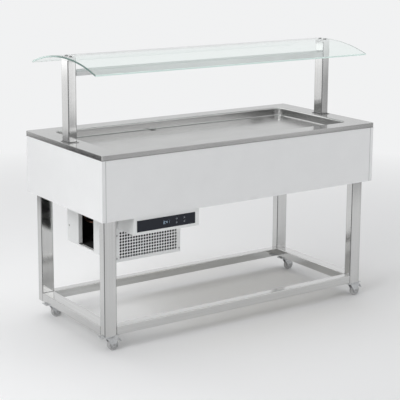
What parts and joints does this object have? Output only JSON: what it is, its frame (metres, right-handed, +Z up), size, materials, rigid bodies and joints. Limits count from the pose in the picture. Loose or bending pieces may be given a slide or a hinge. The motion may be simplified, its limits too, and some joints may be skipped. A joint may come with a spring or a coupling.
{
  "type": "mobile salad bar",
  "caption": "Mobile refrigerated salad bar: cold well in a steel worktop, white skirt, tube frame on castors, curved glass canopy on two posts, hung condensing unit.",
  "frame": {"origin": "on the floor under the middle of the worktop (centre of the bounding box's bottom face)", "axes": "+X towards the right end, along the long side; +Y towards the back; +Z up"},
  "size_m": [1.5, 0.7, 1.248],
  "materials": {
    "brushed_top": "brushed along the length, satin",
    "polished_tube": "bright brushed tube",
    "white_laminate": "smooth satin white laminate on board",
    "core_board": "raw board",
    "dowel_wood": "plain beech",
    "foam": "closed-cell foam",
    "copper": "drawn copper tube",
    "zinc_plate": "zinc plated pressing",
    "satin_aluminium": "satin anodised",
    "bolt_steel": "stainless fastener",
    "canopy_glass": "clear tempered glass with green edges",
    "light_cover": "opal diffuser",
    "brass_fitting": "cast brass",
    "housing_sheet": "light grey sheet",
    "black_plastic": "moulded",
    "black_enamel": "stoved enamel",
    "fin_aluminium": "fine fins",
    "dark_fascia": "dark glossy pane",
    "key_plastic": "soft touch",
    "grey_tyre": "grey non-marking tread"
  },
  "bodies": {
    "root": {"back_panel": "white_laminate", "bottom_rail_back": "polished_tube", "bottom_rail_front": "polished_tube", "bottom_rail_left": "polished_tube", "bottom_rail_right": "polished_tube", "cable_gland": "black_plastic", "castor_mounts": "zinc_plate", "cold_well": "brushed_top", "compressor": "black_enamel", "condenser": "fin_aluminium", "condenser_grille": "housing_sheet", "control_box": "housing_sheet", "control_fascia": "dark_fascia", "drain_outlet": "bolt_steel", "drain_pipe": "brass_fitting", "drain_strainer": "bolt_steel", "evaporator_coil": "copper", "fan_motor": "black_enamel", "fan_shroud": "housing_sheet", "front_panel": "white_laminate", "glass_bolts": "bolt_steel", "glass_canopy": "canopy_glass", "glass_saddles": "satin_aluminium", "left_panel": "white_laminate", "leg_back_left": "polished_tube", "leg_back_right": "polished_tube", "leg_front_left": "polished_tube", "leg_front_right": "polished_tube", "light_diffuser": "light_cover", "light_housing": "satin_aluminium", "panel_dowels": "dowel_wood", "post_left": "polished_tube", "post_right": "polished_tube", "refrigerant_lines": "copper", "right_panel": "white_laminate", "top_frame": "polished_tube", "unit_housing": "housing_sheet", "well_insulation": "foam", "worktop": "brushed_top", "worktop_core": "core_board"},
    "castor_front_left": {"castor_fork_front_left": "zinc_plate", "castor_axle_front_left": "bolt_steel"},
    "wheel_front_left": {"castor_wheel_front_left": "grey_tyre"},
    "brake_front_left": {"brake_lever_front_left": "zinc_plate"},
    "castor_rear_left": {"castor_fork_rear_left": "zinc_plate", "castor_axle_rear_left": "bolt_steel"},
    "wheel_rear_left": {"castor_wheel_rear_left": "grey_tyre"},
    "castor_front_right": {"castor_fork_front_right": "zinc_plate", "castor_axle_front_right": "bolt_steel"},
    "wheel_front_right": {"castor_wheel_front_right": "grey_tyre"},
    "brake_front_right": {"brake_lever_front_right": "zinc_plate"},
    "castor_rear_right": {"castor_fork_rear_right": "zinc_plate", "castor_axle_rear_right": "bolt_steel"},
    "wheel_rear_right": {"castor_wheel_rear_right": "grey_tyre"},
    "valve_handle": {"drain_valve_lever": "zinc_plate"},
    "fan": {"fan_rotor": "black_plastic"},
    "key_1": {"control_key_1": "key_plastic"},
    "key_2": {"control_key_2": "key_plastic"},
    "key_3": {"control_key_3": "key_plastic"},
    "key_4": {"control_key_4": "key_plastic"}
  },
  "joints": [
    {"name": "swivel_front_left", "type": "hinge", "parent": "root", "child": "castor_front_left", "pos_m": [-0.69, -0.29, 0.06], "axis": [0, 0, 1], "continuous": true},
    {"name": "roll_front_left", "type": "hinge", "parent": "castor_front_left", "child": "wheel_front_left", "pos_m": [-0.67, -0.29, 0.025], "axis": [0, 1, 0], "continuous": true},
    {"name": "brake_front_left_press", "type": "hinge", "parent": "castor_front_left", "child": "brake_front_left", "pos_m": [-0.656, -0.29, 0.054], "axis": [0, 1, 0], "range_deg": [0, 25]},
    {"name": "swivel_rear_left", "type": "hinge", "parent": "root", "child": "castor_rear_left", "pos_m": [-0.69, 0.233, 0.06], "axis": [0, 0, 1], "continuous": true},
    {"name": "roll_rear_left", "type": "hinge", "parent": "castor_rear_left", "child": "wheel_rear_left", "pos_m": [-0.67, 0.233, 0.025], "axis": [0, 1, 0], "continuous": true},
    {"name": "swivel_front_right", "type": "hinge", "parent": "root", "child": "castor_front_right", "pos_m": [0.69, -0.29, 0.06], "axis": [0, 0, 1], "continuous": true},
    {"name": "roll_front_right", "type": "hinge", "parent": "castor_front_right", "child": "wheel_front_right", "pos_m": [0.71, -0.29, 0.025], "axis": [0, 1, 0], "continuous": true},
    {"name": "brake_front_right_press", "type": "hinge", "parent": "castor_front_right", "child": "brake_front_right", "pos_m": [0.724, -0.29, 0.054], "axis": [0, 1, 0], "range_deg": [0, 25]},
    {"name": "swivel_rear_right", "type": "hinge", "parent": "root", "child": "castor_rear_right", "pos_m": [0.69, 0.233, 0.06], "axis": [0, 0, 1], "continuous": true},
    {"name": "roll_rear_right", "type": "hinge", "parent": "castor_rear_right", "child": "wheel_rear_right", "pos_m": [0.71, 0.233, 0.025], "axis": [0, 1, 0], "continuous": true},
    {"name": "drain_valve_turn", "type": "hinge", "parent": "root", "child": "valve_handle", "pos_m": [-0.133, 0.204, 0.68], "axis": [0, 1, 0], "range_deg": [0, 90]},
    {"name": "fan_spin", "type": "hinge", "parent": "root", "child": "fan", "pos_m": [-0.432, -0.1, 0.486], "axis": [0, 1, 0], "continuous": true},
    {"name": "key_1_press", "type": "slide", "parent": "root", "child": "key_1", "axis": [0, 1, 0], "range_m": [0, 0.0008], "stiffness_N_per_m": 250, "springref_m": -0.0004},
    {"name": "key_2_press", "type": "slide", "parent": "root", "child": "key_2", "axis": [0, 1, 0], "range_m": [0, 0.0008], "stiffness_N_per_m": 250, "springref_m": -0.0004},
    {"name": "key_3_press", "type": "slide", "parent": "root", "child": "key_3", "axis": [0, 1, 0], "range_m": [0, 0.0008], "stiffness_N_per_m": 250, "springref_m": -0.0004},
    {"name": "key_4_press", "type": "slide", "parent": "root", "child": "key_4", "axis": [0, 1, 0], "range_m": [0, 0.0008], "stiffness_N_per_m": 250, "springref_m": -0.0004}
  ]
}
